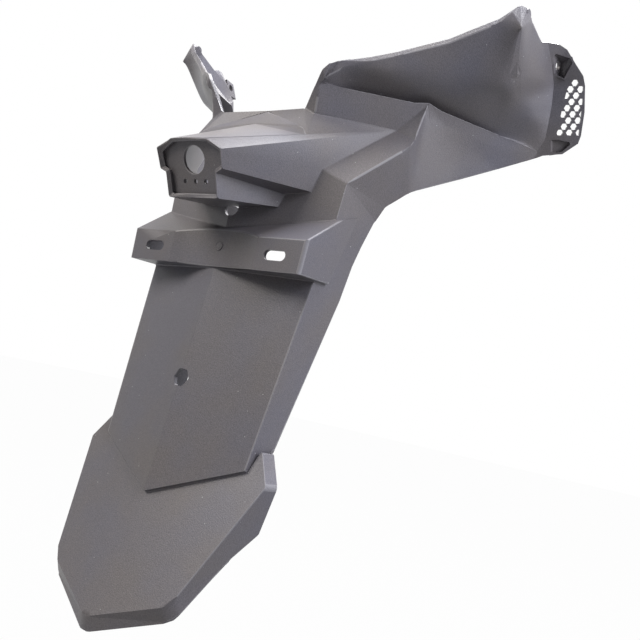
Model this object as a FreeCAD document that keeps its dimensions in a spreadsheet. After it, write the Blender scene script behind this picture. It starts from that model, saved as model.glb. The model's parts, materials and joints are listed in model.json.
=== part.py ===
import FreeCAD, Part
import math
import os
from FreeCAD import Matrix, Placement, Rotation, Vector

# Rear number plate holder and mudguard of a scooter, moulded in one piece.
# The frame is X to the right, Y forwards, Z up, in millimetres.  The origin
# is midway between the two slots of the plate, on the face the plate seats on.
# The moulding is alike on both sides, so only the right half is described.

doc = FreeCAD.newDocument("plate_holder")
sheet = doc.addObject("Spreadsheet::Sheet", "Sizes")

# Sizes in millimetres and degrees, each with what it is on the moulding
SIZES = [
    ("wall", 2.8, "wall of the whole moulding"),
    # long mudguard blade below the plate seat, folded along its middle
    ("blade_seat", 8.3, "blade ridge forwards of the plate seat, at the slots"),
    ("blade_lean", 6.3, "lean of the blade from upright, foot rearwards"),
    ("blade_fold", 11.8, "fall of each half of the blade from its ridge"),
    ("blade_point_down", 164.8, "point of the vee step below the slots"),
    ("blade_corner_down", 136.9, "corner of the vee step below the slots"),
    ("blade_corner_out", 64.6, "half width of the blade at the vee step"),
    ("hatch_down", 88.4, "six sided hole in the ridge below the slots"),
    ("hatch_tall", 13.5, "height of the six sided hole, corner to corner"),
    # wide flap at the foot of the blade
    ("step_deep", 2.9, "step from the blade down to the flap"),
    ("step_drop", 0.7, "foot of that step below its head"),
    ("flap_lean", 19.8, "lean of the flap from upright"),
    ("flap_fold", 5.5, "fall of each half of the flap from its ridge"),
    ("flap_wide_out", 81.5, "half width of the flap at its widest"),
    ("flap_wide_down", 143.2, "widest place of the flap below the slots"),
    ("flap_low_out", 53.6, "half width of the flap at its lower corners"),
    ("flap_low_down", 221.7, "lower corners of the flap below the slots"),
    ("flap_tip_down", 243.1, "tip of the flap below the slots"),
    ("rim_side", 10.0, "side rim of the flap at its upper corners, forwards"),
    ("rim_hip", 25.0, "deepest place of the side rim"),
    ("rim_hip_at", 0.6, "that place, as a share of the way from lower corner to widest place"),
    ("rim_belly", 18.0, "side rim half way down the flap"),
    ("rim_belly_at", 0.38, "that place, as the same share"),
    ("rim_flare", 0.17, "side rim outwards, share of its depth"),
    ("rim_foot", 10.0, "foot rim at the tip of the flap, downwards"),
    ("rim_tip_fwd", 1.5, "foot rim at the tip, forwards"),
    ("rim_low_out", 2.0, "foot rim at the lower corners, outwards"),
    ("rim_low_fwd", 5.0, "foot rim at the lower corners, forwards"),
    ("rim_low_drop", 9.0, "foot rim at the lower corners, downwards"),
    # neck above the blade
    ("neck_seat", 9.0, "neck ridge forwards of the plate seat"),
    ("neck_fold", 14.0, "fall of each half of the neck from its ridge"),
    ("neck_top", 58.9, "top corner of the neck above the slots"),
    ("neck_out", 78.6, "half width of the neck at its top corner"),
    ("neck_end_drop", 4.2, "upper edge of the neck below the foot of the housing"),
    ("cable_hole", 12.0, "cable hole where the lamp housing meets the neck"),
    ("cable_up", 33.4, "cable hole above the slots"),
    ("cable_fwd", 2.0, "rear end of the cable hole, forwards"),
    # two upright ribs inside, one on each side of the holes in the ridge
    ("rib_out", 9.5, "ribs from the middle"),
    ("rib_wide", 1.8, "thickness of a rib"),
    ("rib_foot_down", 118.0, "lower end of the ribs below the slots"),
    ("rib_head_up", 38.5, "upper end of the ribs above the slots"),
    ("rib_foot_fwd", 14.0, "free edge of the ribs at the lower end, forwards"),
    ("rib_bar_fwd", 25.5, "free edge of the ribs behind the bar, forwards"),
    ("rib_head_fwd", 28.5, "free edge of the ribs at the upper end, forwards"),
    # bar with the two pads the plate is screwed to
    ("pad_out", 78.0, "outer end of a pad from the middle, half way up"),
    ("pad_in", 38.5, "inner end of a pad from the middle"),
    ("pad_top", 11.4, "top of the pads above the slots"),
    ("pad_foot", 10.9, "foot of the pads below the slots"),
    ("bar_hollow", 7.0, "middle of the bar forwards of the pads"),
    ("bar_crest_fwd", 28.5, "bend in the roof of the bar, forwards"),
    ("bar_crest_up", 33.2, "bend in the roof of the bar, above the slots"),
    ("bar_end_fwd", 48.0, "far top corner of the end of the bar, forwards"),
    ("bar_end_up", 41.3, "far top corner of the end of the bar, above the slots"),
    ("bar_heel_fwd", 34.0, "far foot corner of the end of the bar, forwards"),
    ("bar_heel_down", 9.0, "far foot corner of the end of the bar, below the slots"),
    ("bar_end_lean", 2.9, "lean of the end of the bar, head outwards"),
    ("bar_spare", 5.0, "how far the hollow between the pads is cut past the bar"),
    ("bar_room_out", 71.5, "half width of the room inside the bar"),
    ("slot_apart", 110.0, "centres of the two slots"),
    ("slot_long", 17.6, "length of a slot"),
    ("slot_tall", 7.0, "height of a slot, clears an M6 screw"),
    ("gate_mark", 6.8, "round mark in the middle of the bar"),
    ("gate_up", 4.7, "round mark above the slots"),
    # lamp housing
    ("lamp_lean", 25.5, "lean of the lamp face, head rearwards"),
    ("lamp_seat", 28.0, "foot of the lamp face rearwards of the plate seat"),
    ("lamp_foot", 27.5, "foot of the lamp face above the slots"),
    ("lamp_head", 62.0, "head of the lamp face above the slots"),
    ("lamp_crown_up", 0.5, "crown of the lamp face above its head"),
    ("lamp_head_out", 15.7, "half width of the lamp face at its head"),
    ("lamp_shoulder", 55.5, "shoulder of the lamp face above the slots"),
    ("lamp_wide_out", 27.8, "half width of the lamp face at its shoulders"),
    ("lamp_waist", 44.5, "lower end of the shoulders above the slots"),
    ("lamp_notch", 42.3, "notch under the shoulders above the slots"),
    ("lamp_notch_out", 22.6, "half width of the lamp face at the notch"),
    ("lamp_foot_out", 22.0, "half width of the lamp face at its foot"),
    ("lamp_recess", 4.0, "lamp floor behind the rim of its face"),
    ("lamp_floor", 2.5, "thickness of the lamp floor"),
    ("lamp_bore", 18.4, "round hole in the lamp floor"),
    ("lamp_bore_up", 49.2, "round hole above the slots"),
    ("lamp_screw", 3.4, "small holes in the lamp floor"),
    ("lamp_screw_apart", 9.3, "pitch of the small holes"),
    ("lamp_screw_up", 36.5, "small holes above the slots"),
    # air vents at the front ends of the wings
    ("vent_splay", 35.0, "turn of the vent panels from square to the rear"),
    ("cell_wide", 4.4, "honeycomb hole across its flats"),
    ("cell_pitch", 7.0, "pitch of the holes along a row"),
    ("cell_row", 4.45, "pitch of the rows"),
    ("cell_drift", 0.73, "step of each row along the rows"),
    ("cell_tilt", 12.0, "tilt of the rows on the vent panel"),
    ("cell_first_along", 20.2, "first hole along the vent panel"),
    ("cell_first_down", 8.5, "first hole down the vent panel"),
    # round lug on the edge behind each wing tip
    ("tip_lug_wide", 7.2, "lug across"),
    ("tip_lug_thick", 2.2, "lug, thickness"),
    ("tip_lug_out", 156.4, "outer face of the lug from the middle"),
    ("tip_lug_fwd", 86.6, "middle of the lug, forwards"),
    ("tip_lug_up", 202.2, "middle of the lug above the slots"),
    # screw pockets above and below the honeycomb, open to the rear and the side
    ("upper_deep", 11.5, "depth of the upper pocket along its inner side"),
    ("lower_deep", 3.4, "depth of the lower pocket along its inner side"),
    ("pocket_toe", 3.0, "depth of a pocket at its outer side"),
    ("pocket_wall", 1.3, "wall of a pocket"),
    ("pocket_sink", 0.7, "walls of a pocket start this far behind the face"),
    ("pocket_proud", 2.0, "room of a pocket starts this far before the face"),
    ("pocket_turn", 7.0, "turn of the inner side of a pocket from straight forwards"),
    ("ear_bore", 6.0, "screw hole through the inner side of the upper pocket"),
    ("ear_bore_down", 4.6, "screw hole below the upper inner corner of the mouth"),
    ("ear_bore_fwd", 6.6, "screw hole forwards of the mouth"),
]

# Corners of the folds of neck, deck, wings and vents: outwards from the middle,
# forwards of the plate seat, upwards from the slots
FOLDS = {
    # free front edge of the side wall, from the flap up to the wing corner
    "flap_ear": (68.7, 14, -122.3),
    "edge_foot": (67, 28.5, -121.5),
    "edge_bar": (75, 55, -14.5),
    "edge_neck": (77, 58, 9),
    "edge_rise": (79, 61.5, 25),
    "edge_bend": (82, 66.5, 44.5),
    "edge_turn": (86, 69, 56),
    "edge_lift": (90, 76, 63.5),
    "edge_wing": (95, 83, 72),
    "edge_mid": (113, 119, 95),
    "edge_far": (131, 144, 113),
    "edge_end": (150, 163, 129),
    # where the lamp housing meets the neck and the deck above it
    "housing_top": (60, 24, 67),
    "housing_side": (55.5, 22.8, 50.5),
    "housing_step": (37.3, 18.3, 47.4),
    "housing_foot": (35, 17.7, 37.5),
    "deck_corner": (46, 10.5, 92.5),
    "deck_middle": (0, 15, 97),
    "saddle_middle": (0, 24.5, 110),
    # ridge from the neck to the wing
    "ridge_low": (99.5, 63, 98),
    "ridge_mid": (100, 66.5, 104.5),
    "ridge_top": (101, 72.5, 132.5),
    "ridge_end": (150, 160.5, 133.5),
    "housing_ridge": (85.5, 63, 110),
    # top edge of the saddle, shoulder and wing
    "top_saddle": (38.5, 18, 108.5),
    "top_rise": (44.5, 14.5, 120),
    "top_shoulder": (48.5, 12, 127),
    "top_round": (51.5, 10.5, 132),
    "top_turn": (56, 11.5, 137),
    "top_start": (61, 15, 140),
    "top_inner": (76, 27.5, 148),
    "top_middle": (90.5, 39.5, 157),
    "top_outer": (116, 58, 173.5),
    "top_end": (142.5, 72, 192.5),
    "top_tip": (153, 77, 204),
    "tip_front": (155.5, 82.5, 204.9),
    "tip_slope": (157, 92, 201),
    "tip_vent": (158.5, 112, 195),
    "vent_head": (160.2, 118.5, 198),
    "vent_brow": (165.2, 127.7, 200.8),
    # lower line of the lip under that edge
    "lip_saddle": (47, 18.5, 104.5),
    "lip_rise": (48.3, 16, 115),
    "lip_shoulder": (49.5, 14, 124.3),
    "lip_turn": (54, 12.4, 127.3),
    "lip_start": (64, 18.2, 136.8),
    "lip_inner": (76, 25.5, 143.5),
    "lip_middle": (90.5, 37.5, 152.5),
    "lip_outer": (116, 56, 169),
    "lip_end": (142.5, 70, 188),
    "lip_tip": (150.5, 73, 197),
    # hollow of the wing behind the ridge
    "hollow_inner": (59, 39, 127),
    "hollow_middle": (91, 79, 132.5),
    "hollow_outer": (124, 128, 132),
    "panel_inner": (92, 44, 141.5),
    "panel_middle": (118, 74.5, 146.5),
    "panel_outer": (138, 105, 152),
    "kite_inner": (147, 93, 157),
    "kite_top": (158.5, 75, 186),
    "kite_side": (154, 97.3, 163.5),
    "kite_foot": (147, 114.5, 154.3),
    "bend_upper": (150.5, 134, 150.5),
    "bend_lower": (152, 152, 144),
    # line where the side wall of the wing meets the vent panel
    "vent_top": (159.5, 135, 189),
    "vent_upper": (159.5, 145.6, 178.8),
    "vent_middle": (159, 150, 165.4),
    "vent_lower": (157, 155, 151.7),
    "vent_foot": (155, 159.7, 142),
}

# Outline of a vent panel: outwards along the panel and down along it, both
# from the top end of the line where it meets the side wall
VENT_OUTLINE = {
    "vent_cheek": (7.5, -12.5),
    "vent_side": (15.5, -5.0),
    "vent_shoulder": (24.2, 2.7),
    "vent_elbow": (27.5, 9.0),
    "vent_hip": (32.8, 27.0),
    "vent_knee": (35.4, 44.0),
    "vent_heel": (35.0, 50.0),
    "vent_sole": (26.0, 59.8),
    "vent_toe": (19.4, 61.7),
    "vent_root": (12.0, 64.0),
}

# Mouths of the two screw pockets and the window that the honeycomb fills, along
# the vent panel and down it, each from its upper inner corner outwards
POCKETS = {
    "upper": {
        "upper_head_in": (0.2, -7.3),
        "upper_head_out": (11.3, -7.3),
        "upper_side_out": (14.1, -4.6),
        "upper_foot_out": (11.5, 6.6),
        "upper_foot_in": (1.8, 4.2),
    },
    "lower": {
        "lower_head_in": (14.6, 51.2),
        "lower_head_out": (28.6, 50.2),
        "lower_side_out": (29.4, 52.0),
        "lower_foot_out": (25.3, 58.0),
        "lower_foot_in": (17.0, 59.8),
    },
}
WINDOW = {
    "window_head_in": (15.5, 5.5),
    "window_head_out": (25.0, 3.8),
    "window_side_out": (29.6, 20.5),
    "window_foot_out": (34.0, 43.9),
    "window_foot_in": (17.6, 47.3),
    "window_side_in": (16.2, 26.0),
}

# Faces of the right half, each walked so that its outer side is seen
# anticlockwise.  Four sided faces that twist are split along their diagonal.
FACES = [
    # flap, its rim, the vee step and the blade
    "flap_tip flap_low flap_wide flap_inner flap_vee",
    "flap_inner flap_wide flap_ear",
    "rim_tip rim_low flap_low flap_tip",
    "rim_low rim_belly rim_hip rim_wide flap_wide flap_low",
    "rim_wide rim_ear flap_ear flap_wide",
    "flap_inner flap_ear rim_ear edge_foot",
    "flap_vee flap_inner blade_corner blade_vee",
    "blade_vee blade_corner neck_foot neck_bottom",
    # side wall of blade and neck, and the lower panel of the wing
    "neck_foot blade_corner flap_inner edge_foot edge_bar edge_neck",
    "neck_foot edge_neck edge_rise",
    "neck_corner neck_foot edge_rise edge_bend",
    "neck_corner edge_bend edge_turn",
    "ridge_low neck_corner edge_turn edge_lift",
    "ridge_low edge_lift edge_wing",
    "ridge_mid ridge_low edge_wing",
    "ridge_top ridge_mid edge_wing",
    "ridge_top edge_wing edge_mid",
    "ridge_end ridge_top edge_mid edge_far",
    "ridge_end edge_far edge_end",
    # rear of the neck and the facets that climb beside the lamp housing
    "neck_bottom neck_foot neck_corner housing_top housing_side housing_step housing_foot neck_lamp",
    "housing_top neck_corner ridge_low housing_ridge",
    "housing_ridge ridge_low ridge_mid",
    "housing_ridge ridge_mid ridge_top",
    "lip_saddle housing_ridge ridge_top lip_shoulder lip_rise",
    # lamp housing, deck and saddle
    "lamp_crown lamp_shoulder_pt housing_ridge lip_saddle deck_corner",
    "housing_ridge lamp_shoulder_pt lamp_waist_pt housing_side housing_top",
    "lamp_waist_pt lamp_notch_pt housing_step housing_side",
    "lamp_notch_pt lamp_base housing_foot housing_step",
    "lamp_base lamp_sole neck_lamp housing_foot",
    "lamp_top lamp_crown deck_corner deck_middle",
    "deck_middle deck_corner lip_saddle top_saddle saddle_middle",
    # lip along the top edge
    "top_saddle lip_saddle lip_rise top_rise",
    "top_rise lip_rise lip_shoulder top_shoulder",
    "top_shoulder lip_shoulder lip_turn top_round",
    "top_round lip_turn top_turn",
    "top_turn lip_turn lip_start top_start",
    "top_start lip_start lip_inner top_inner",
    "top_inner lip_inner lip_middle top_middle",
    "top_middle lip_middle lip_outer top_outer",
    "top_outer lip_outer lip_end top_end",
    "top_end lip_end lip_tip top_tip",
    # hollow and upper panel of the wing
    "lip_shoulder ridge_top hollow_middle hollow_inner",
    "ridge_top ridge_end hollow_outer hollow_middle",
    "lip_shoulder hollow_inner lip_turn",
    "lip_turn hollow_inner lip_start",
    "lip_start hollow_inner panel_inner",
    "lip_start panel_inner lip_inner",
    "lip_inner panel_inner lip_middle",
    "lip_middle panel_inner panel_middle lip_outer",
    "lip_outer panel_middle kite_inner lip_end",
    "lip_end kite_inner kite_top lip_tip",
    "hollow_inner hollow_middle panel_middle panel_inner",
    "hollow_middle hollow_outer panel_outer panel_middle",
    "panel_middle panel_outer kite_inner",
    "kite_inner panel_outer kite_foot",
    "kite_inner kite_foot kite_side kite_top",
    "hollow_outer bend_upper kite_foot panel_outer",
    "hollow_outer ridge_end bend_lower bend_upper",
    # side wall at the front end of the wing
    "lip_tip kite_top tip_front top_tip",
    "kite_top tip_slope tip_front",
    "kite_top kite_side tip_vent tip_slope",
    "kite_side vent_top tip_vent",
    "kite_side vent_upper vent_top",
    "kite_side kite_foot vent_middle vent_upper",
    "kite_foot bend_upper vent_lower vent_middle",
    "bend_upper bend_lower vent_foot vent_lower",
    "bend_lower ridge_end vent_foot",
    # vent panel
    "tip_vent vent_top vent_brow vent_head",
    "vent_top vent_cheek vent_brow",
    "vent_top vent_upper vent_side vent_cheek",
    "vent_upper vent_elbow vent_shoulder vent_side",
    "vent_upper vent_middle vent_hip vent_elbow",
    "vent_middle vent_lower vent_knee vent_hip",
    "vent_lower vent_foot vent_heel vent_knee",
    "vent_foot vent_toe vent_sole vent_heel",
    "vent_foot ridge_end edge_end vent_root vent_toe",
]


# Honeycomb rows from the top: first hole in half pitches, then how many holes
CELL_ROWS = [(0, 1), (-1, 2), (-2, 2), (-1, 2), (-2, 2), (-3, 3), (-2, 2), (-3, 2), (-4, 3)]


def fill_sheet():
    """Puts every size in a cell with a name and a note."""
    rows = list(SIZES)
    for name, place in FOLDS.items():
        for way, value in zip(("out", "fwd", "up"), place):
            rows.append((name + "_" + way, value, name.replace("_", " ") + ", " + way))
    for group in (VENT_OUTLINE, POCKETS["upper"], POCKETS["lower"], WINDOW):
        for name, place in group.items():
            for way, value in zip(("along", "down"), place):
                rows.append((name + "_" + way, value, name.replace("_", " ") + ", " + way))
    for row, (alias, value, note) in enumerate(rows, start=1):
        sheet.set("A%d" % row, note)
        sheet.set("B%d" % row, str(value))
        sheet.setAlias("B%d" % row, alias)
    doc.recompute()


def size(alias):
    return float(sheet.get(alias))


def slope(alias):
    return math.tan(math.radians(size(alias)))


def fold(name):
    return Vector(size(name + "_out"), size(name + "_fwd"), size(name + "_up"))


def blade_face(out, up):
    """Point of the rear face of the blade."""
    return Vector(out, size("blade_seat") + slope("blade_lean") * up + slope("blade_fold") * out, up)


def neck_face(out, up):
    """Point of the upright rear face of the neck."""
    return Vector(out, size("neck_seat") + slope("neck_fold") * out, up)


def flap_face(out, up):
    """Point of the rear face of the flap, one step forwards of the blade's point."""
    start = blade_face(0, -size("blade_point_down"))
    fwd = start.y + size("step_deep") + slope("flap_lean") * (up - start.z) + slope("flap_fold") * out
    return Vector(out, fwd, up)


def lamp_face(out, up, behind=0.0):
    """Point of the leaning face of the lamp housing, or of its floor behind it."""
    fwd = -size("lamp_seat") - slope("lamp_lean") * (up - size("lamp_foot"))
    return Vector(out, fwd, up) - lamp_normal() * behind


def lamp_normal():
    lean = math.radians(size("lamp_lean"))
    return Vector(0, -math.cos(lean), -math.sin(lean))


def crease_out(up):
    """Half width of the blade and neck at a height: one straight crease."""
    low_up = -size("blade_corner_down")
    rise = (up - low_up) / (size("neck_top") - low_up)
    return size("blade_corner_out") + rise * (size("neck_out") - size("blade_corner_out"))


def neck_foot():
    """Where the blade's face runs into the neck's face on the side crease."""
    widening = crease_out(1) - crease_out(0)
    spread = slope("neck_fold") - slope("blade_fold")
    gap = size("neck_seat") - size("blade_seat") + spread * crease_out(0)
    up = gap / (slope("blade_lean") - spread * widening)
    return neck_face(crease_out(up), up)


def vent_axes():
    """Directions along and down a vent panel, and out of its face."""
    splay = math.radians(size("vent_splay"))
    along = Vector(math.cos(splay), math.sin(splay), 0)
    down = (fold("vent_lower") - fold("vent_top")).normalize()
    out = down.cross(along).normalize()
    down = along.cross(out).normalize()
    return along, down, out


def vent_point(along_by, down_by, out_by=0.0):
    """Point of a vent panel, measured from the top of its root."""
    along, down, out = vent_axes()
    return fold("vent_top") + along * along_by + down * down_by + out * out_by


def rim_corner(place, deep):
    """Free edge of the flap's side rim forwards of a place on the flap's edge."""
    return place + Vector(deep * size("rim_flare"), deep, 0)


def right_points():
    """Every corner of the right half of the skin."""
    points = {name: fold(name) for name in FOLDS}
    for name in VENT_OUTLINE:
        points[name] = vent_point(size(name + "_along"), size(name + "_down"))
    points["blade_vee"] = blade_face(0, -size("blade_point_down"))
    points["blade_corner"] = blade_face(size("blade_corner_out"), -size("blade_corner_down"))
    points["neck_foot"] = neck_foot()
    seat_gap = size("neck_seat") - size("blade_seat")
    points["neck_bottom"] = neck_face(0, seat_gap / slope("blade_lean"))
    points["neck_corner"] = neck_face(size("neck_out"), size("neck_top"))
    points["neck_lamp"] = neck_face(0, fold("housing_foot").z - size("neck_end_drop"))
    for name in ("housing_top", "housing_side", "housing_step", "housing_foot"):
        points[name] = neck_face(points[name].x, points[name].z)
    points["flap_vee"] = flap_face(0, -size("blade_point_down") - size("step_drop"))
    points["flap_inner"] = flap_face(size("blade_corner_out"), -size("blade_corner_down") - size("step_drop"))
    points["flap_wide"] = flap_face(size("flap_wide_out"), -size("flap_wide_down"))
    points["flap_low"] = flap_face(size("flap_low_out"), -size("flap_low_down"))
    points["flap_tip"] = flap_face(0, -size("flap_tip_down"))
    points["rim_ear"] = rim_corner(points["flap_ear"], size("rim_side"))
    points["rim_wide"] = rim_corner(points["flap_wide"], size("rim_side"))
    edge = points["flap_wide"] - points["flap_low"]
    points["rim_hip"] = rim_corner(points["flap_low"] + edge * size("rim_hip_at"), size("rim_hip"))
    points["rim_belly"] = rim_corner(points["flap_low"] + edge * size("rim_belly_at"), size("rim_belly"))
    low_step = Vector(size("rim_low_out"), size("rim_low_fwd"), -size("rim_low_drop"))
    points["rim_low"] = points["flap_low"] + low_step
    points["rim_tip"] = points["flap_tip"] + Vector(0, size("rim_tip_fwd"), -size("rim_foot"))
    points["lamp_top"] = lamp_face(0, size("lamp_head") + size("lamp_crown_up"))
    points["lamp_crown"] = lamp_face(size("lamp_head_out"), size("lamp_head"))
    points["lamp_shoulder_pt"] = lamp_face(size("lamp_wide_out"), size("lamp_shoulder"))
    points["lamp_waist_pt"] = lamp_face(size("lamp_wide_out"), size("lamp_waist"))
    points["lamp_notch_pt"] = lamp_face(size("lamp_notch_out"), size("lamp_notch"))
    points["lamp_base"] = lamp_face(size("lamp_foot_out"), size("lamp_foot"))
    points["lamp_sole"] = lamp_face(0, size("lamp_foot"))
    return points


def both_halves(points, faces):
    """The corners and faces of the right half and of its mirror image."""
    corners = dict(points)
    walks = [flattest(face.split(), points) for face in faces]
    for name, place in points.items():
        if place.x > 0:
            corners["left " + name] = Vector(-place.x, place.y, place.z)
    mirrored = []
    for walk in walks:
        left = [name if points[name].x == 0 else "left " + name for name in walk]
        mirrored.append(left[:1] + left[:0:-1])
    return corners, walks + mirrored


def fan_from(walk):
    """A face as a fan of triangles from its first corner."""
    return [(walk[0], second, third) for second, third in zip(walk[1:-1], walk[2:])]


def area_way(points, fan):
    one, two, three = (points[name] for name in fan)
    return (two - one).cross(three - one)


def flattest(walk, points):
    """The same face walked from the corner whose fan twists least."""
    def twist(start):
        ways = [area_way(points, fan) for fan in fan_from(walk[start:] + walk[:start])]
        whole = ways[0]
        for way in ways[1:]:
            whole = whole + way
        whole.normalize()
        return min(way.dot(whole) / max(way.Length, 1e-6) for way in ways)
    start = max(range(len(walk)), key=lambda turn: round(twist(turn), 6))
    return walk[start:] + walk[:start]


# Inner corners: how much a nearly flat corner is steadied, and the longest
# step of a sharp one, in walls
CORNER_SOFT = 0.003
CORNER_REACH = 2.2


def inner_corner(normals, wall):
    """Step from an outer corner to the corner one wall behind all its faces."""
    grid = [[0.0] * 3 for _ in range(3)]
    side = [0.0] * 3
    for normal in normals:
        for row in range(3):
            side[row] -= wall * normal[row]
            for column in range(3):
                grid[row][column] += normal[row] * normal[column]
    soft = CORNER_SOFT * len(normals)
    for row in range(3):
        grid[row][row] += soft
    matrix = Matrix(grid[0][0], grid[0][1], grid[0][2], 0,
                    grid[1][0], grid[1][1], grid[1][2], 0,
                    grid[2][0], grid[2][1], grid[2][2], 0,
                    0, 0, 0, 1)
    step = matrix.inverse().multVec(Vector(*side))
    longest = CORNER_REACH * wall
    if step.Length > longest:
        step = step.normalize() * longest
    return step


def flat_face(corners):
    return Part.Face(Part.makePolygon(corners + corners[:1]))


def thick_skin(corners, fans, wall):
    """Closed solid between the outer faces and the same faces one wall behind."""
    around = {name: [] for name in corners}
    used = {}
    for fan in fans:
        one, two, three = (corners[name] for name in fan)
        normal = (two - one).cross(three - one).normalize()
        for name in fan:
            around[name].append(normal)
        for start, end in zip(fan, fan[1:] + fan[:1]):
            used[(start, end)] = True
    inner = {}
    for name, normals in around.items():
        if normals:
            inner[name] = corners[name] + inner_corner(normals, wall)
    sheets = []
    for fan in fans:
        sheets.append(flat_face([corners[name] for name in fan]))
        sheets.append(flat_face([inner[name] for name in reversed(fan)]))
    for start, end in used:
        if (end, start) not in used:
            sheets.append(flat_face([corners[end], corners[start], inner[start]]))
            sheets.append(flat_face([corners[end], inner[start], inner[end]]))
    return closed_solid(sheets)


FLAT_WITHIN = 0.0001


def cap(loop):
    """A loop of corners as one face, or as a fan where they aren't in one plane."""
    normal = (loop[1] - loop[0]).cross(loop[2] - loop[0]).normalize()
    if all(abs((corner - loop[0]).dot(normal)) < FLAT_WITHIN for corner in loop):
        return [flat_face(loop)]
    return [flat_face(list(fan)) for fan in fan_from(loop)]


def solid_between(front, back):
    """Solid between two loops of corners, the front one seen anticlockwise."""
    sheets = cap(front) + cap(back[::-1])
    loops = zip(front, front[1:] + front[:1], back, back[1:] + back[:1])
    for near, next_near, far, next_far in loops:
        sheets.append(flat_face([near, far, next_far]))
        sheets.append(flat_face([near, next_far, next_near]))
    return closed_solid(sheets)


def closed_solid(sheets):
    solid = Part.Solid(Part.Shell(sheets))
    if solid.Volume < 0:
        solid.reverse()
    return solid


def bar_end(fwd, up, inset=0.0):
    """Corner of the end of the bar, which leans outwards at its head."""
    return Vector(size("pad_out") - inset + slope("bar_end_lean") * up, fwd, up)


def bar_block():
    """The bar without its hollows, straight from end to end."""
    ends = [
        bar_end(0, -size("pad_foot")),
        bar_end(size("bar_heel_fwd"), -size("bar_heel_down")),
        bar_end(size("bar_end_fwd"), size("bar_end_up")),
        bar_end(size("bar_crest_fwd"), size("bar_crest_up")),
        bar_end(0, size("pad_top")),
    ]
    return solid_between(ends, [Vector(-end.x, end.y, end.z) for end in ends])


def channel():
    """Space inside the neck and blade, from the middle of their wall forwards."""
    half = size("wall") / 2
    inwards = Vector(0, half, 0)
    points = {}
    for level, up in (("low", -2 * size("pad_foot")), ("high", size("neck_top"))):
        face = blade_face if level == "low" else neck_face
        points[level + "_middle"] = face(0, up) + inwards
        points[level + "_side"] = face(crease_out(up) - half, up) + inwards
        points[level + "_far"] = Vector(crease_out(up) - half, size("edge_turn_fwd"), up)
    seat_gap = size("neck_seat") - size("blade_seat")
    points["fold_middle"] = neck_face(0, seat_gap / slope("blade_lean")) + inwards
    points["fold_side"] = neck_foot() + inwards - Vector(half, 0, 0)
    points["low_front"] = Vector(0, size("edge_turn_fwd"), -2 * size("pad_foot"))
    points["high_front"] = Vector(0, size("edge_turn_fwd"), size("neck_top"))
    faces = [
        "low_middle low_side fold_side fold_middle",
        "fold_middle fold_side high_side high_middle",
        "fold_side low_side low_far high_far high_side",
        "low_front high_front high_far low_far",
        "low_middle low_front low_far low_side",
        "high_middle high_side high_far high_front",
    ]
    corners, walks = both_halves(points, faces)
    fans = [fan for walk in walks for fan in fan_from(walk)]
    return closed_solid([flat_face([corners[name] for name in fan]) for fan in fans])


def bar_room():
    """Hollow of the bar one wall inside its pads, roof and floor."""
    wall = size("wall")
    rise = (size("bar_crest_up") - size("pad_top")) / size("bar_crest_fwd")
    roof = size("pad_top") - wall * math.hypot(1, rise)
    floor = wall - size("pad_foot")
    near, far = wall, size("bar_heel_fwd")
    out = size("bar_room_out")
    ends = [
        Vector(out, near, floor),
        Vector(out, far, floor),
        Vector(out, far, roof + rise * far),
        Vector(out, near, roof + rise * near),
    ]
    return solid_between(ends, [Vector(-end.x, end.y, end.z) for end in ends])


def lamp_floor(points):
    """Floor of the lamp housing, set behind the rim and into its walls."""
    pairs = [
        ("lamp_top", "deck_middle"),
        ("lamp_crown", "deck_corner"),
        ("lamp_shoulder_pt", "housing_ridge"),
        ("lamp_waist_pt", "housing_side"),
        ("lamp_notch_pt", "housing_step"),
        ("lamp_base", "housing_foot"),
        ("lamp_sole", "neck_lamp"),
    ]
    loops = []
    for behind in (size("lamp_recess"), size("lamp_recess") + size("lamp_floor")):
        right = []
        for rim, root in pairs:
            way = points[root] - points[rim]
            place = points[rim] + way * (behind / -way.dot(lamp_normal()))
            right.append(place)
        middle = (right[0] + right[-1]) * 0.5
        inset = [place + (middle - place).normalize() * (size("wall") / 2) for place in right]
        left = [Vector(-place.x, place.y, place.z) for place in inset[-2:0:-1]]
        loops.append(inset + left)
    return solid_between(loops[0], loops[1])


def add_shape(name, shape):
    feature = doc.addObject("Part::Feature", name)
    feature.Shape = shape
    feature.Label = name.replace("_", " ")
    return feature


def add_bound(kind, name, cells, place, turn=None):
    """A primitive whose sizes follow the sheet."""
    item = doc.addObject(kind, name)
    for cell, formula in cells.items():
        item.setExpression(cell, formula)
    item.Placement = Placement(place, turn or Rotation())
    item.Label = name.replace("_", " ")
    return item


def join(name, pieces):
    whole = doc.addObject("Part::MultiFuse", name)
    whole.Shapes = pieces
    whole.Label = name.replace("_", " ")
    return whole


def cut(name, base, tool, refine=False):
    result = doc.addObject("Part::Cut", name)
    result.Base = base
    result.Tool = tool
    result.Refine = refine
    result.Label = name.replace("_", " ")
    return result


def left_of(item):
    """Mirror image of a piece on the left side."""
    copy = doc.addObject("Part::Mirroring", item.Name + "_left")
    copy.Source = item
    copy.Normal = Vector(1, 0, 0)
    copy.Label = item.Label + " left"
    return copy


def upright_to(way):
    """Turn that lays the axis of a primitive along a direction."""
    return Rotation(Vector(0, 0, 1), way)


def vent_turn():
    """Turn to a frame with X along a vent panel, Y up it and Z out of it."""
    along, down, out = vent_axes()
    return Rotation(along, down * -1, out, "ZXY")


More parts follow.
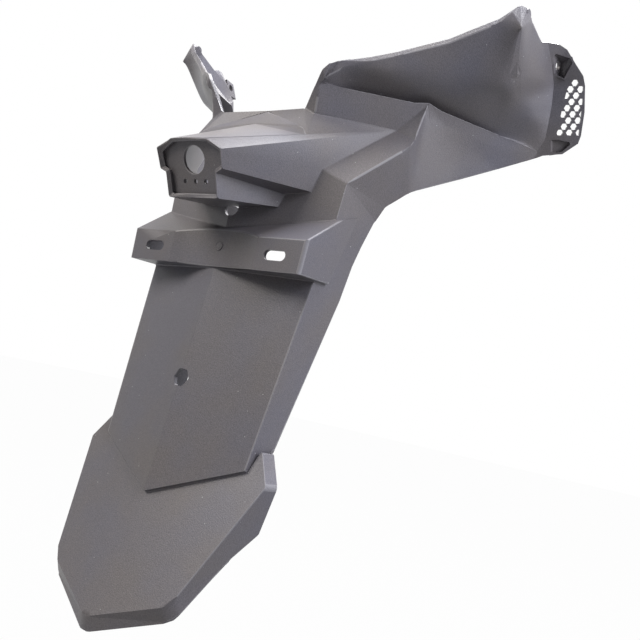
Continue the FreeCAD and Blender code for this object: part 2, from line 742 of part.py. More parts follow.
def bar_cuts():
    """Curved hollow between the pads, the room inside, the slots and the mark."""
    hollow = size("bar_hollow")
    round_formula = "(Sizes.pad_in ^ 2 + Sizes.bar_hollow ^ 2) / (2 * Sizes.bar_hollow)"
    radius = (size("pad_in") ** 2 + hollow ** 2) / (2 * hollow)
    below = size("pad_foot") + size("bar_spare")
    tall = "Sizes.pad_foot + Sizes.bar_crest_up + 2 * Sizes.bar_spare"
    seat = Vector(0, hollow - radius, -below)
    scoop = add_bound("Part::Cylinder", "bar_scoop", {"Radius": round_formula, "Height": tall}, seat)
    wide = {"Radius": round_formula + " + Sizes.wall", "Height": tall}
    room_scoop = add_bound("Part::Cylinder", "bar_room_scoop", wide, seat)
    room = cut("bar_room", add_shape("bar_room_block", bar_room()), room_scoop)
    return scoop, room


def slot_cuts():
    """One long slot through the right pad."""
    half = size("slot_long") / 2 - size("slot_tall") / 2
    middle = size("slot_apart") / 2
    start = -size("wall")
    block = {
        "Length": "Sizes.slot_long - Sizes.slot_tall",
        "Width": "3 * Sizes.wall",
        "Height": "Sizes.slot_tall",
    }
    corner = Vector(middle - half, start, -size("slot_tall") / 2)
    pieces = [add_bound("Part::Box", "slot_straight", block, corner)]
    end = {"Radius": "Sizes.slot_tall / 2", "Height": "3 * Sizes.wall"}
    forwards = upright_to(Vector(0, 1, 0))
    for name, side in (("slot_inner", -1), ("slot_outer", 1)):
        centre = Vector(middle + side * half, start, 0)
        pieces.append(add_bound("Part::Cylinder", name, end, centre, forwards))
    return pieces


def lamp_cuts():
    """Round hole and three small holes in the lamp floor."""
    deep = size("lamp_recess") + 3 * size("lamp_floor")
    inwards = lamp_normal() * -1
    turn = upright_to(inwards)
    height = "Sizes.lamp_recess + 3 * Sizes.lamp_floor"
    start = lamp_face(0, size("lamp_bore_up"), -size("lamp_floor"))
    bore = {"Radius": "Sizes.lamp_bore / 2", "Height": height}
    pieces = [add_bound("Part::Cylinder", "lamp_bore_cut", bore, start, turn)]
    small = {"Radius": "Sizes.lamp_screw / 2", "Height": height}
    for place in (-1, 0, 1):
        start = lamp_face(place * size("lamp_screw_apart"), size("lamp_screw_up"), -size("lamp_floor"))
        pieces.append(add_bound("Part::Cylinder", "lamp_screw_cut_%d" % (place + 2), small, start, turn))
    return pieces


def middle_cuts():
    """Cable hole, six sided hole in the ridge and the mark on the bar."""
    forwards = upright_to(Vector(0, 1, 0))
    start = Vector(0, size("cable_fwd"), size("cable_up"))
    cable = {"Radius": "Sizes.cable_hole / 2", "Height": "Sizes.neck_seat + 2 * Sizes.wall"}
    pieces = [add_bound("Part::Cylinder", "cable_hole_cut", cable, start, forwards)]
    seat = blade_face(0, -size("hatch_down")) - Vector(0, 2 * size("wall"), 0)
    hatch = {"Circumradius": "Sizes.hatch_tall / 2", "Height": "5 * Sizes.wall"}
    six = add_bound("Part::Prism", "hatch_cut", hatch, seat, forwards)
    six.Polygon = 6
    pieces.append(six)
    mark = {"Radius": "Sizes.gate_mark / 2", "Height": "Sizes.wall / 5"}
    start = Vector(0, size("bar_hollow"), size("gate_up"))
    pieces.append(add_bound("Part::Cylinder", "gate_mark_cut", mark, start, forwards))
    return pieces


def cell_places():
    """Centres of the honeycomb holes along and down the vent panel."""
    tilt = math.radians(size("cell_tilt"))
    for row, (first, count) in enumerate(CELL_ROWS):
        for column in range(count):
            step = (first / 2 + column) * size("cell_pitch") + row * size("cell_drift")
            fall = row * size("cell_row")
            along = size("cell_first_along") + step * math.cos(tilt) + fall * math.sin(tilt)
            down = size("cell_first_down") - step * math.sin(tilt) + fall * math.cos(tilt)
            yield along, down


def honeycomb():
    """Honeycomb holes of the right vent panel, cut off at the window's edge."""
    cell = {"Circumradius": "Sizes.cell_wide / sqrt(3)", "Height": "8 * Sizes.wall"}
    turn = vent_turn().multiply(Rotation(Vector(0, 0, 1), size("cell_tilt")))
    pieces = []
    for number, (along_by, down_by) in enumerate(cell_places(), start=1):
        place = vent_point(along_by, down_by, -5 * size("wall"))
        item = add_bound("Part::Prism", "cell_%02d" % number, cell, place, turn)
        item.Polygon = 6
        pieces.append(item)
    front, back = (panel_loop(WINDOW, depth * size("wall")) for depth in (2, -4))
    comb = doc.addObject("Part::Common", "honeycomb")
    comb.Base = join("cells", pieces)
    comb.Tool = add_shape("window", solid_between(front, back))
    comb.Label = "honeycomb"
    return comb


def panel_loop(group, out_by):
    """Named corners of the vent panel, lifted off its face."""
    return [vent_point(size(name + "_along"), size(name + "_down"), out_by) for name in group]


def pocket_ways(name):
    """Forwards along the inner side of a pocket, and out of that side into it."""
    turn = math.radians(size("pocket_turn"))
    inwards = Vector(math.sin(turn), math.cos(turn), 0)
    mouth = panel_loop(POCKETS[name], 0)
    return inwards, (mouth[-1] - mouth[0]).cross(inwards).normalize()


def pocket_loops(name, front_by, wall):
    """Mouth and floor corners of a pocket's room, or of its walls where wall isn't 0."""
    along, down, out = vent_axes()
    inwards, aside = pocket_ways(name)
    head_in, head_out, side_out, foot_out, foot_in = panel_loop(POCKETS[name], 0)
    thick = size("wall") if wall else 0
    up = down * -wall
    head_in = head_in + up - aside * thick
    foot_in = foot_in - up - aside * thick
    outer = [head_out + up + along * wall, side_out + along * wall, foot_out - up + along * wall]
    step = front_by / inwards.dot(out)
    deep = size(name + "_deep") + wall
    toe = size("pocket_toe") + wall
    front = [head_in + inwards * step] + [corner + out * front_by for corner in outer]
    front.append(foot_in + inwards * step)
    back = [head_in + inwards * deep] + [corner - out * toe for corner in outer]
    back.append(foot_in + inwards * deep)
    return front, back


def pocket(name):
    """Walls of a screw pocket behind the vent panel, and the room inside them."""
    block = solid_between(*pocket_loops(name, -size("pocket_sink"), size("pocket_wall")))
    room = solid_between(*pocket_loops(name, size("pocket_proud"), 0))
    return add_shape(name + "_pocket", block), add_shape(name + "_pocket_room", room)


def ear_hole():
    """Screw hole through the inner side of the upper pocket, square to it."""
    inwards, aside = pocket_ways("upper")
    mouth = panel_loop(POCKETS["upper"], 0)
    edge = (mouth[-1] - mouth[0]).normalize()
    centre = mouth[0] + edge * size("ear_bore_down") + inwards * size("ear_bore_fwd")
    start = centre - aside * (2 * size("wall"))
    cells = {"Radius": "Sizes.ear_bore / 2", "Height": "3 * Sizes.wall"}
    return add_bound("Part::Cylinder", "ear_hole", cells, start, upright_to(aside))


def rib():
    """Right rib, rooted in the wall of the blade and neck."""
    out, half = size("rib_out"), size("wall") / 2
    spread = slope("neck_fold") - slope("blade_fold")
    fold_up = (size("neck_seat") - size("blade_seat") + spread * out) / slope("blade_lean")
    foot = blade_face(out, -size("rib_foot_down"))
    head = neck_face(out, size("rib_head_up"))
    loop = [
        foot + Vector(0, half, 0),
        Vector(out, size("rib_foot_fwd"), foot.z),
        Vector(out, size("rib_bar_fwd"), fold_up),
        Vector(out, size("rib_head_fwd"), head.z),
        head + Vector(0, half, 0),
        neck_face(out, fold_up) + Vector(0, half, 0),
    ]
    across = Vector(size("rib_wide"), 0, 0)
    return add_shape("rib", solid_between(loop, [corner + across for corner in loop]))


def tip_lug():
    """Lug on the edge behind the right wing tip."""
    cells = {"Radius": "Sizes.tip_lug_wide / 2", "Height": "Sizes.tip_lug_thick"}
    inner = size("tip_lug_out") - size("tip_lug_thick")
    centre = Vector(inner, size("tip_lug_fwd"), size("tip_lug_up"))
    return add_bound("Part::Cylinder", "tip_lug", cells, centre, upright_to(Vector(1, 0, 0)))


fill_sheet()
points = right_points()
corners, walks = both_halves(points, FACES)
fans = [fan for walk in walks for fan in fan_from(walk)]
skin = add_shape("skin", thick_skin(corners, fans, size("wall")))
scoop, room = bar_cuts()
bar_outside = join("bar_outside", [scoop, add_shape("channel", channel())])
bar = cut("bar", add_shape("bar_block", bar_block()), bar_outside)
floor = add_shape("lamp_floor_plate", lamp_floor(points))
upper_pocket, upper_room = pocket("upper")
lower_pocket, lower_room = pocket("lower")
extras = [upper_pocket, lower_pocket, rib(), tip_lug()]
solid = join("solid_form", [skin, bar, floor] + extras + [left_of(item) for item in extras])
side_cuts = join("side_cuts", slot_cuts() + [honeycomb(), upper_room, lower_room, ear_hole()])
all_cuts = join("all_cuts", [side_cuts, left_of(side_cuts), room] + lamp_cuts() + middle_cuts())
holder = cut("plate_holder", solid, all_cuts, refine=False)
doc.recompute()

for item in doc.Objects:
    if "Invalid" in item.State or "Error" in item.State:
        raise RuntimeError("bad state: %s" % item.Name)
shape = holder.Shape
if shape.isNull() or not shape.isValid() or len(shape.Solids) != 1:
    raise RuntimeError("the moulding is not one valid solid: %d" % len(shape.Solids))
print("volume cm3", round(shape.Volume / 1000, 1), "faces", len(shape.Faces), shape.BoundBox)
os.makedirs("parts", exist_ok=True)
shape.exportStep("parts/plate_holder.step")
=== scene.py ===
import json
import math

import bmesh
import bpy
from mathutils import Euler, Matrix, Vector

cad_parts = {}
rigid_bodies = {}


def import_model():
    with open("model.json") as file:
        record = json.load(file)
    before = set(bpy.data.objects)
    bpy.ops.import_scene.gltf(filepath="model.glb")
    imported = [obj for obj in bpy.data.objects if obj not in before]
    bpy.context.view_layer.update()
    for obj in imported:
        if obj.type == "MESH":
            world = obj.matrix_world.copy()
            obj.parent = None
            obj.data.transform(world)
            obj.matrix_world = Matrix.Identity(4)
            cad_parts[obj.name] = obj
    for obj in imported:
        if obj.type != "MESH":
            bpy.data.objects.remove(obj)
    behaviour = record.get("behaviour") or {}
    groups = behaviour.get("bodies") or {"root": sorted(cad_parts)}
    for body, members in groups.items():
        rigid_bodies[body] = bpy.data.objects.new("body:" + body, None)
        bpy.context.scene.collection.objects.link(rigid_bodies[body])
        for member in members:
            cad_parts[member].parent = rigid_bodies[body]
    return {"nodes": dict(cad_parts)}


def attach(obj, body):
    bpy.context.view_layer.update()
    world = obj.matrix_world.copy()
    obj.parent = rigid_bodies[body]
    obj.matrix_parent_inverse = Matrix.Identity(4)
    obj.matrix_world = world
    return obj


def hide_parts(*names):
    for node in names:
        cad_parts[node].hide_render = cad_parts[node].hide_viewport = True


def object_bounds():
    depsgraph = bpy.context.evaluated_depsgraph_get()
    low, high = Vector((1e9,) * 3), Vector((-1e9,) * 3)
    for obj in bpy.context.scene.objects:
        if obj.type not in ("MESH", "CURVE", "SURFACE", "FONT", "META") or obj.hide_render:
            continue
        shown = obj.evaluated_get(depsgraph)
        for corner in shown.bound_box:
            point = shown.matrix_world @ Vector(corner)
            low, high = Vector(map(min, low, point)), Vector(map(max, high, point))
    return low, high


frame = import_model()
cad_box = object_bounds()

# Camera.  It looks up at the rear of the holder from its right and below, turned a little to the left
# as the photograph is, so that the long blade runs down to the lower left.
CAMERA_PLACE = Vector((0.3765, -0.3921, -0.0884))
CAMERA_AZIMUTH = math.radians(35.12)
CAMERA_ELEVATION = math.radians(6.08)
CAMERA_ROLL = math.radians(-12.23)
SENSOR_WIDTH = 36
FOCAL_LENGTH = 45
NEAREST_SEEN = 0.01

bpy.ops.object.select_all(action="DESELECT")
bpy.ops.object.camera_add(location=CAMERA_PLACE)
camera = bpy.context.object
camera.name = "camera"
level = Euler((math.radians(90) + CAMERA_ELEVATION, 0, CAMERA_AZIMUTH)).to_matrix()
camera.rotation_euler = (level @ Matrix.Rotation(-CAMERA_ROLL, 3, "Z")).to_euler()
camera.data.sensor_width = SENSOR_WIDTH
camera.data.lens = FOCAL_LENGTH
camera.data.clip_start = NEAREST_SEEN
bpy.context.scene.camera = camera
bpy.context.scene.view_settings.view_transform = "Standard"

# Plate holder.  One shell of charcoal polypropylene, folded like paper: blade, flap, neck, plate bar, lamp
# housing and wings.  It is moulded in one shot in a spark-eroded mould, which leaves a fine even grain, and
# its folds carry small radii.  The radii of its sharper folds are painted paler, partly for the wear of hands
# and cartons and partly as a painted highlight, and the inner side is smoother.

# Corners closer than MERGE_NEAR are one corner.  Faces within FLAT_ANGLE of each other are one face.
MERGE_NEAR = 0.00005
FLAT_ANGLE = math.radians(1.0)

# Corners of the right wing, on its hollow face, on the kite shaped facet in that face, and on its side.
WING_BOWL = (
    (0.0495, 0.0140, 0.1243), (0.0540, 0.0124, 0.1273), (0.0640, 0.0182, 0.1368), (0.0760, 0.0255, 0.1435),
    (0.0905, 0.0375, 0.1525), (0.1160, 0.0560, 0.1690), (0.1425, 0.0700, 0.1880), (0.1505, 0.0730, 0.1970),
    (0.0920, 0.0440, 0.1415), (0.1180, 0.0745, 0.1465), (0.1380, 0.1050, 0.1520), (0.0590, 0.0390, 0.1270),
    (0.0910, 0.0790, 0.1325), (0.1240, 0.1280, 0.1320), (0.1010, 0.0725, 0.1325), (0.1500, 0.1605, 0.1335),
    (0.1505, 0.1340, 0.1505), (0.1520, 0.1520, 0.1440), (0.1585, 0.1120, 0.1950), (0.1570, 0.0920, 0.2010),
    (0.1595, 0.1350, 0.1890), (0.1595, 0.1456, 0.1788), (0.1590, 0.1500, 0.1654), (0.1570, 0.1550, 0.1517),
    (0.1550, 0.1597, 0.1420),
)
KITE = (
    (0.1470, 0.0930, 0.1570), (0.1585, 0.0750, 0.1860), (0.1540, 0.0973, 0.1635), (0.1470, 0.1145, 0.1543),
)
KITE_MIDDLE = Vector(KITE[2])
WING_SIDE = (
    (0.0995, 0.0630, 0.0980), (0.1000, 0.0665, 0.1045), (0.1010, 0.0725, 0.1325), (0.1500, 0.1605, 0.1335),
    (0.0950, 0.0830, 0.0720), (0.1130, 0.1190, 0.0950), (0.1310, 0.1440, 0.1130), (0.1500, 0.1630, 0.1290),
    (0.0786, 0.0286, 0.0589), (0.0860, 0.0690, 0.0560), (0.0900, 0.0760, 0.0635),
)
CORNER_NEAR = 0.0015

# The wing's hollow face and its side are gently curved.  Each is cut finely and smoothed that many times.
SOFT_AREAS = ((WING_BOWL + KITE, 14), (WING_SIDE, 10))
SOFT_CUTS = 7
SOFT_PULL = 0.5

# Short edges of the flap that are plainly round, with their radii: its lower corners, its tip and its
# upper corners.
ROUND_EDGES = (
    (((0.0536, -0.0223, -0.2217), (0.0556, -0.0173, -0.2307)), 0.0065),
    (((0.0, -0.0352, -0.2431), (0.0, -0.0337, -0.2531)), 0.0045),
    (((0.0687, 0.0140, -0.1223), (0.0704, 0.0240, -0.1223)), 0.0028),
)
ROUND_STEPS = 4

# The round mark in the middle of the plate bar: a thin rim round a face that is sunk a little.
MARK_SIDES = 32
MARK_RADIUS = 0.0031
MARK_DEEP = 0.0016
MARK_PLACE = (0, 0.0070, 0.0047)
MARK_RIM = 0.0007
MARK_SINK = 0.00035
LOOKS_REARWARDS = -0.9

# The mould's radii are cut in three passes: inward folds, shallow outward folds, and the sharper outward
# folds, whose radii are painted paler, partly for wear and partly as a painted highlight.  A pass says
# whether its folds stand out, and their least and greatest turn.
FOLD_ANGLE = math.radians(14)
# Folds that turn more than this are painted paler: partly wear, partly a painted highlight.
WEAR_AND_HIGHLIGHT_ANGLE = math.radians(34)
PLAIN = 0
WEAR_AND_HIGHLIGHT = 1
FOLD_PASSES = (
    (False, FOLD_ANGLE, math.pi, PLAIN),
    (True, FOLD_ANGLE, WEAR_AND_HIGHLIGHT_ANGLE, PLAIN),
    (True, WEAR_AND_HIGHLIGHT_ANGLE, math.pi, WEAR_AND_HIGHLIGHT),
)
EDGE_RADIUS = 0.0010
EDGE_STEPS = 3
LEAST_RADIUS = 0.00025
ROOM_SHARE = 0.36
BLUNT_CORNER = math.radians(150)
SHARP_ANGLE = math.radians(18)
SMOOTH_ANGLE = math.radians(38)

# The folds of the plate pads, the blade's ridge and the flap are softer.  A box holds their middles.
SOFT_RADIUS = 0.0024
PAD_BOX = ((0.040, -0.030, -0.020), (0.082, 0.030, 0.020))
RIDGE_BOX = ((0.000, -0.040, -0.190), (0.001, 0.030, 0.005))
FLAP_BOX = ((0.000, -0.060, -0.260), (0.090, 0.030, -0.124))

# The vent panels and the kite stay crisp.
VENT_BOX = ((0.152, 0.122, 0.125), (0.190, 0.185, 0.210))
KITE_NEAR = 0.030

# Points down the middle of the hollow and out along the wings.
SPINE = (
    (0, 0.030, -0.200), (0, 0.040, -0.100), (0, 0.050, 0.020), (0, 0.040, 0.060), (0, 0.080, 0.130),
    (0.060, 0.120, 0.160), (-0.060, 0.120, 0.160),
)

# Grain, clouds and dust of the plastic.
NOISE_DETAIL = 3.0
GRAIN_SIZE = 0.0007
GRAIN_DEPTH = 0.00013
INNER_GRAIN = 0.35
SPECKLE_LOW = 0.3
SPECKLE_HIGH = 0.7
CLOUD_SIZE = 0.06
CLOUD_LOW = 0.35
CLOUD_HIGH = 0.65
DUST_SPACING = 0.009
DUST_SHARE = 0.045
DUST_CORE = 0.6

# Colours and gloss of the plastic.
PLASTIC_DARK = (0.089, 0.087, 0.095, 1)
PLASTIC_PALE = (0.135, 0.132, 0.143, 1)
WARM = (1.06, 1.0, 0.95, 1)
COOL = (0.97, 0.97, 1.06, 1)
# Paler paint on the radii of the sharper folds: partly wear, partly a painted highlight.
WEAR_AND_HIGHLIGHT_COLOUR = (0.30, 0.295, 0.31, 1)
WEAR_AND_HIGHLIGHT_SHARE = 0.4
DUST_COLOUR = (0.42, 0.42, 0.43, 1)
DUST_COVER = 0.7
GLOSS = 0.3
ROUGHNESS_LEAST = 0.36
ROUGHNESS_MOST = 0.46
INNER_ROUGHNESS_CHANGE = -0.08


def on_the_right(vertices):
    """The places of some corners, with those on the left side moved over to the right."""
    return [Vector((abs(vertex.co.x), vertex.co.y, vertex.co.z)) for vertex in vertices]


def all_near(points, corners):
    """True where every point lies on one of the corners."""
    return all(min((point - Vector(corner)).length for corner in corners) < CORNER_NEAR for point in points)


def select_area(mesh, area):
    """Selects the faces whose corners are all in the area, right and left, but leaves the kite out, crisp."""
    form = bmesh.from_edit_mesh(mesh)
    for face in form.faces:
        points = on_the_right(face.verts)
        in_kite = all_near(points, KITE)
        face.select = all_near(points, area) and not in_kite
        if in_kite:
            for edge in face.edges:
                edge.smooth = False
    form.select_flush_mode()
    bmesh.update_edit_mesh(mesh)


def select_edges(mesh, ends):
    """Selects the edge between two corners, on the right side and on the left."""
    form = bmesh.from_edit_mesh(mesh)
    first, last = (Vector(corner) for corner in ends)
    for edge in form.edges:
        edge.select = False
        points = on_the_right(edge.verts)
        for one, other in (points, points[::-1]):
            if (one - first).length < CORNER_NEAR and (other - last).length < CORNER_NEAR:
                edge.select = True
    bmesh.update_edit_mesh(mesh)


def inside(point, box):
    """True where a point lies in a box, given by its lowest and highest corners."""
    return all(box[0][axis] <= point[axis] <= box[1][axis] for axis in range(3))


def room_beside(edge):
    """The least room that the faces beside an edge leave for its radius, at both of its ends."""
    room = edge.calc_length()
    for corner in edge.link_loops:
        before = corner.link_loop_prev
        after = corner.link_loop_next
        for side, turn in ((before, corner.calc_angle()), (after, after.calc_angle())):
            share = math.sin(turn) if turn < BLUNT_CORNER else 1
            room = min(room, side.edge.calc_length() * share)
    return room


def weigh_edges(mesh, outwards, least_turn, most_turn):
    """Gives each fold the radius that its place and the room beside it allow, as a share of the largest."""
    form = bmesh.new()
    form.from_mesh(mesh)
    layers = form.edges.layers.float
    weights = layers.get("bevel_weight_edge") or layers.new("bevel_weight_edge")
    for edge in form.edges:
        edge[weights] = 0
        turn = edge.calc_face_angle(0)
        if not least_turn <= turn < most_turn or edge.is_convex != outwards:
            continue
        middle = (edge.verts[0].co + edge.verts[1].co) / 2
        middle.x = abs(middle.x)
        if inside(middle, VENT_BOX) or (middle - KITE_MIDDLE).length < KITE_NEAR:
            edge.smooth = False
            continue
        soft = any(inside(middle, box) for box in (PAD_BOX, RIDGE_BOX, FLAP_BOX))
        radius = min(SOFT_RADIUS if soft else EDGE_RADIUS, room_beside(edge) * ROOM_SHARE)
        if radius > LEAST_RADIUS:
            edge[weights] = radius / SOFT_RADIUS
        elif turn > SHARP_ANGLE:
            edge.smooth = False
    form.to_mesh(mesh)
    form.free()


def mark_faces(mesh, name, test):
    """Writes an attribute that is one on the faces that the test picks, and nought on the others."""
    marks = mesh.attributes.new(name, "FLOAT", "FACE")
    for face, mark in zip(mesh.polygons, marks.data):
        mark.value = 1.0 if test(face) else 0.0


def is_worn_and_highlit(face):
    """True for a face on the radius of a sharper fold, painted paler for wear and as a painted highlight."""
    return face.material_index == WEAR_AND_HIGHLIGHT


def looks_inwards(face):
    """True for a face on the inner side of the shell, which looks at the middle of the hollow."""
    middle = min((Vector(point) for point in SPINE), key=lambda point: (point - face.center).length)
    return face.normal.dot(middle - face.center) > 0


def new_group(name, inputs, outputs):
    """A shader group with the number inputs and the outputs named, and the node that its outputs end in."""
    group = bpy.data.node_groups.new(name, "ShaderNodeTree")
    for socket_name, value in inputs:
        socket = group.interface.new_socket(socket_name, in_out="INPUT", socket_type="NodeSocketFloat")
        socket.default_value = value
    for socket_name, kind in outputs:
        group.interface.new_socket(socket_name, in_out="OUTPUT", socket_type=kind)
    return group, group.nodes.new("NodeGroupOutput")


def noise(group, place, size):
    """Soft random spots of the size given, in metres."""
    spots = group.nodes.new("ShaderNodeTexNoise")
    spots.inputs["Scale"].default_value = 1 / size
    spots.inputs["Detail"].default_value = NOISE_DETAIL
    group.links.new(place, spots.inputs["Vector"])
    return spots.outputs["Fac"]


def band(group, value, low, high, start=0.0, end=1.0):
    """Maps a value from one range to another, held at both ends."""
    ramp = group.nodes.new("ShaderNodeMapRange")
    for name, number in (("From Min", low), ("From Max", high), ("To Min", start), ("To Max", end)):
        ramp.inputs[name].default_value = number
    group.links.new(value, ramp.inputs["Value"])
    return ramp.outputs["Result"]


def mix_colour(group, mask, first, second, kind="MIX"):
    """Mixes two colours by a mask.  Each of the three is a value, or an output that gives one."""
    mixer = group.nodes.new("ShaderNodeMix")
    mixer.data_type = "RGBA"
    mixer.blend_type = kind
    mask_socket, first_socket, second_socket = (socket for socket in mixer.inputs if socket.enabled)
    for value, socket in ((mask, mask_socket), (first, first_socket), (second, second_socket)):
        if isinstance(value, (float, tuple)):
            socket.default_value = value
        else:
            group.links.new(value, socket)
    return next(socket for socket in mixer.outputs if socket.enabled)


def moulded_grain():
    """Fine moulded grain: a speckle for the colour, and a normal for the light."""
    inputs = (("Depth", GRAIN_DEPTH), ("Strength", 1.0))
    outputs = (("Speckle", "NodeSocketFloat"), ("Normal", "NodeSocketVector"))
    group, ends = new_group("moulded_grain", inputs, outputs)
    starts = group.nodes.new("NodeGroupInput")
    place = group.nodes.new("ShaderNodeTexCoord").outputs["Object"]
    fine = noise(group, place, GRAIN_SIZE)
    bump = group.nodes.new("ShaderNodeBump")
    group.links.new(starts.outputs["Strength"], bump.inputs["Strength"])
    group.links.new(starts.outputs["Depth"], bump.inputs["Distance"])
    group.links.new(fine, bump.inputs["Height"])
    group.links.new(fine, ends.inputs["Speckle"])
    group.links.new(bump.outputs["Normal"], ends.inputs["Normal"])
    return group


def moulded_tint():
    """Clouds of slightly warmer and cooler plastic, and sparse grains of pale dust."""
    group, ends = new_group("moulded_tint", (), (("Cloud", "NodeSocketFloat"), ("Dust", "NodeSocketFloat")))
    place = group.nodes.new("ShaderNodeTexCoord").outputs["Object"]
    cloud = band(group, noise(group, place, CLOUD_SIZE), CLOUD_LOW, CLOUD_HIGH)
    group.links.new(cloud, ends.inputs["Cloud"])
    cells = group.nodes.new("ShaderNodeTexVoronoi")
    cells.inputs["Scale"].default_value = 1 / DUST_SPACING
    group.links.new(place, cells.inputs["Vector"])
    dust = band(group, cells.outputs["Distance"], DUST_SHARE, DUST_SHARE * DUST_CORE)
    group.links.new(dust, ends.inputs["Dust"])
    return group


def plastic_material():
    """Charcoal plastic with grain, clouds, dust, edges painted paler for wear and as a painted highlight, and
    a smoother inner side.
    """
    material = bpy.data.materials.new("grained_plastic")
    material.use_nodes = True
    tree = material.node_tree
    shader = tree.nodes["Principled BSDF"]
    shader.inputs["Specular IOR Level"].default_value = GLOSS
    masks = {}
    for name in ("edge", "inner"):
        mask = tree.nodes.new("ShaderNodeAttribute")
        mask.attribute_name = name
        masks[name] = mask.outputs["Fac"]
    grain = tree.nodes.new("ShaderNodeGroup")
    grain.node_tree = moulded_grain()
    tree.links.new(band(tree, masks["inner"], 0, 1, 1, INNER_GRAIN), grain.inputs["Strength"])
    tint = tree.nodes.new("ShaderNodeGroup")
    tint.node_tree = moulded_tint()
    speckle = band(tree, grain.outputs["Speckle"], SPECKLE_LOW, SPECKLE_HIGH)
    colour = mix_colour(tree, speckle, PLASTIC_DARK, PLASTIC_PALE)
    clouds = mix_colour(tree, tint.outputs["Cloud"], WARM, COOL)
    colour = mix_colour(tree, 1.0, colour, clouds, "MULTIPLY")
    # The radii of the sharper folds are painted paler: partly wear, partly a painted highlight.
    colour = mix_colour(tree, band(tree, masks["edge"], 0, 1, 0, WEAR_AND_HIGHLIGHT_SHARE), colour, WEAR_AND_HIGHLIGHT_COLOUR)
    colour = mix_colour(tree, band(tree, tint.outputs["Dust"], 0, 1, 0, DUST_COVER), colour, DUST_COLOUR)
    tree.links.new(colour, shader.inputs["Base Color"])
    rough = band(tree, grain.outputs["Speckle"], SPECKLE_LOW, SPECKLE_HIGH, ROUGHNESS_LEAST, ROUGHNESS_MOST)
    smoother = tree.nodes.new("ShaderNodeMath")
    smoother.operation = "MULTIPLY_ADD"
    tree.links.new(masks["inner"], smoother.inputs[0])
    smoother.inputs[1].default_value = INNER_ROUGHNESS_CHANGE
    tree.links.new(rough, smoother.inputs[2])
    tree.links.new(smoother.outputs[0], shader.inputs["Roughness"])
    tree.links.new(grain.outputs["Normal"], shader.inputs["Normal"])
    return material


# The solid's mesh, with its wings smoothed and the flap's short edges rounded.
node = frame["nodes"]["plate_holder"]
bpy.ops.object.select_all(action="DESELECT")
holder = node.copy()
holder.data = node.data.copy()
holder.name = "holder_moulding"
bpy.context.collection.objects.link(holder)
holder.select_set(True)
bpy.context.view_layer.objects.active = holder
bpy.ops.object.mode_set(mode="EDIT")
bpy.ops.mesh.select_all(action="SELECT")
bpy.ops.mesh.remove_doubles(threshold=MERGE_NEAR)
bpy.ops.mesh.dissolve_limited(angle_limit=FLAT_ANGLE)
for area, passes in SOFT_AREAS:
    bpy.ops.mesh.select_mode(type="FACE")
    select_area(holder.data, area)
    bpy.ops.mesh.quads_convert_to_tris()
    bpy.ops.mesh.subdivide(number_cuts=SOFT_CUTS)
    bpy.ops.mesh.select_mode(type="VERT")
    bpy.ops.mesh.select_less()
    bpy.ops.mesh.vertices_smooth(factor=SOFT_PULL, repeat=passes)
bpy.ops.mesh.select_mode(type="EDGE")
for ends, radius in ROUND_EDGES:
    select_edges(holder.data, ends)
    bpy.ops.mesh.bevel(offset=radius, segments=ROUND_STEPS, affect="EDGES", clamp_overlap=True)
bpy.ops.object.mode_set(mode="OBJECT")

# The round mark, turned to look rearwards and joined into the holder.
bpy.ops.object.select_all(action="DESELECT")
bpy.ops.mesh.primitive_cylinder_add(
    vertices=MARK_SIDES, radius=MARK_RADIUS, depth=MARK_DEEP,
    location=MARK_PLACE, rotation=(math.radians(90), 0, 0),
)
mark = bpy.context.object
bpy.ops.object.transform_apply(location=True, rotation=True, scale=True)
bpy.ops.object.mode_set(mode="EDIT")
bpy.ops.mesh.select_mode(type="FACE")
form = bmesh.from_edit_mesh(mark.data)
for face in form.faces:
    face.select = face.normal.y < LOOKS_REARWARDS
bmesh.update_edit_mesh(mark.data)
bpy.ops.mesh.inset(thickness=MARK_RIM)
bpy.ops.transform.translate(value=(0, MARK_SINK, 0))
bpy.ops.object.mode_set(mode="OBJECT")
holder.select_set(True)
bpy.context.view_layer.objects.active = holder
bpy.ops.object.join()

# The radii.  A second slot for the plastic tells the sharper folds, painted paler for wear and as a painted
# highlight, from the rest until they are marked.
plastic = plastic_material()
holder.data.materials.clear()
holder.data.materials.append(plastic)
holder.data.materials.append(plastic)
for outwards, least_turn, most_turn, slot in FOLD_PASSES:
    weigh_edges(holder.data, outwards, least_turn, most_turn)
    bevel = holder.modifiers.new("mould_radii", "BEVEL")
    bevel.width = SOFT_RADIUS
    bevel.segments = EDGE_STEPS
    bevel.limit_method = "WEIGHT"
    bevel.use_clamp_overlap = False
    bevel.material = slot
    bpy.ops.object.modifier_apply(modifier=bevel.name)
mark_faces(holder.data, "edge", is_worn_and_highlit)
mark_faces(holder.data, "inner", looks_inwards)
for face in holder.data.polygons:
    face.material_index = PLAIN
holder.data.materials.pop()
bpy.ops.object.shade_smooth_by_angle(angle=SMOOTH_ANGLE)
flat_faces = holder.modifiers.new("flat_faces", "WEIGHTED_NORMAL")
flat_faces.keep_sharp = True
bpy.ops.object.modifier_apply(modifier=flat_faces.name)
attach(holder, "root")
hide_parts("plate_holder")

# Floor and light.  The holder hangs above a pale floor in a white tent.  Two broad lamps hang high above it,
# one of them towards its front.  A warm lamp stands at its left rear, and two cool ones at its right.
FLOOR_SIZE = 24
FLOOR_DROP = 0.12
FLOOR_GREY = 0.12
FLOOR_ROUGHNESS = 0.9
FLOOR_GLOW = 0.98
TENT_LIGHT = 0.1
WHITE = (1, 1, 1, 1)

bpy.ops.object.select_all(action="DESELECT")
bpy.ops.mesh.primitive_plane_add(size=FLOOR_SIZE, location=(0, 0, cad_box[0][2] - FLOOR_DROP))
floor = bpy.context.object
floor.name = "floor"


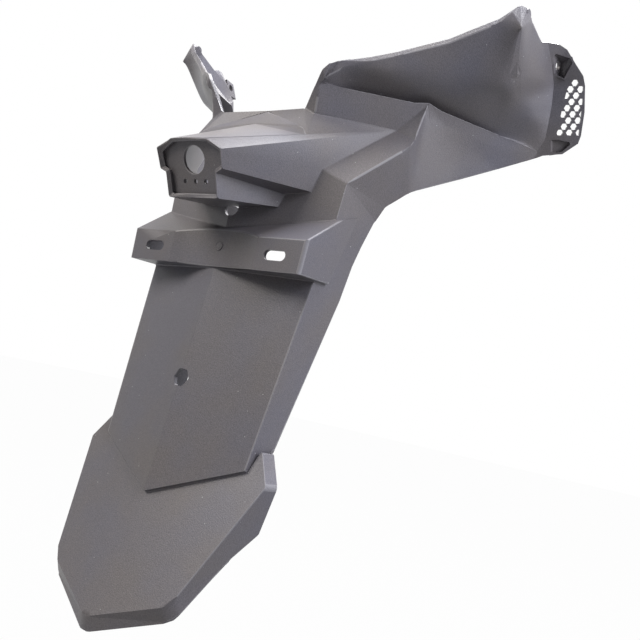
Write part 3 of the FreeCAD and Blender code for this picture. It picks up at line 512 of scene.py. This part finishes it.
def seen_white(tree, kind, shader, share):
    """A share of white light where the camera, a reflection or a clear part looks, else the shader."""
    glow = tree.nodes.new(kind)
    glow.inputs["Color"].default_value = WHITE
    path = tree.nodes.new("ShaderNodeLightPath")
    total = tree.nodes.new("ShaderNodeMath")
    total.operation = "ADD"
    total.use_clamp = True
    tree.links.new(path.outputs["Is Camera Ray"], total.inputs[0])
    more = tree.nodes.new("ShaderNodeMath")
    more.operation = "ADD"
    tree.links.new(path.outputs["Is Glossy Ray"], more.inputs[0])
    tree.links.new(path.outputs["Is Transmission Ray"], more.inputs[1])
    tree.links.new(more.outputs[0], total.inputs[1])
    mixer = tree.nodes.new("ShaderNodeMixShader")
    tree.links.new(band(tree, total.outputs[0], 0, 1, 0, share), mixer.inputs["Fac"])
    tree.links.new(shader, mixer.inputs[1])
    tree.links.new(glow.outputs[0], mixer.inputs[2])
    return mixer.outputs["Shader"]


floor_material = bpy.data.materials.new("pale_floor")
floor_material.use_nodes = True
tree = floor_material.node_tree
paint = tree.nodes["Principled BSDF"]
paint.inputs["Base Color"].default_value = (FLOOR_GREY, FLOOR_GREY, FLOOR_GREY, 1)
paint.inputs["Roughness"].default_value = FLOOR_ROUGHNESS
surface = seen_white(tree, "ShaderNodeEmission", paint.outputs["BSDF"], FLOOR_GLOW)
tree.links.new(surface, tree.nodes["Material Output"].inputs["Surface"])
floor.data.materials.append(floor_material)

world = bpy.data.worlds.new("studio")
bpy.context.scene.world = world
world.use_nodes = True
tree = world.node_tree
tent = tree.nodes["Background"]
tent.inputs["Color"].default_value = WHITE
tent.inputs["Strength"].default_value = TENT_LIGHT
surface = seen_white(tree, "ShaderNodeBackground", tent.outputs["Background"], 1)
tree.links.new(surface, tree.nodes["World Output"].inputs["Surface"])


def soft_lamp(name, place, size, power, colour):
    """A round soft lamp that looks at the middle of the holder."""
    bpy.ops.object.light_add(type="AREA", location=place)
    lamp = bpy.context.object
    lamp.name = name
    lamp.data.shape = "DISK"
    lamp.data.size = size
    lamp.data.energy = power
    lamp.data.color = colour
    lamp.rotation_euler = Vector(place).to_track_quat("Z", "Y").to_euler()


soft_lamp("overhead_lamp", place=(0.3, 0.3, 1.7), size=1.2, power=60, colour=(0.97, 0.98, 1.0))
soft_lamp("back_lamp", place=(-0.1, 1.0, 1.6), size=1.0, power=40, colour=(1.0, 0.99, 0.99))
soft_lamp("left_lamp", place=(-0.6, -1.1, 1.0), size=1.0, power=27, colour=(1.0, 0.95, 0.88))
soft_lamp("right_lamp", place=(1.4, -0.1, 0.9), size=1.0, power=23, colour=(0.91, 0.92, 1.0))
soft_lamp("side_lamp", place=(1.5, 0.45, 0.35), size=0.8, power=9, colour=(0.91, 0.92, 1.0))
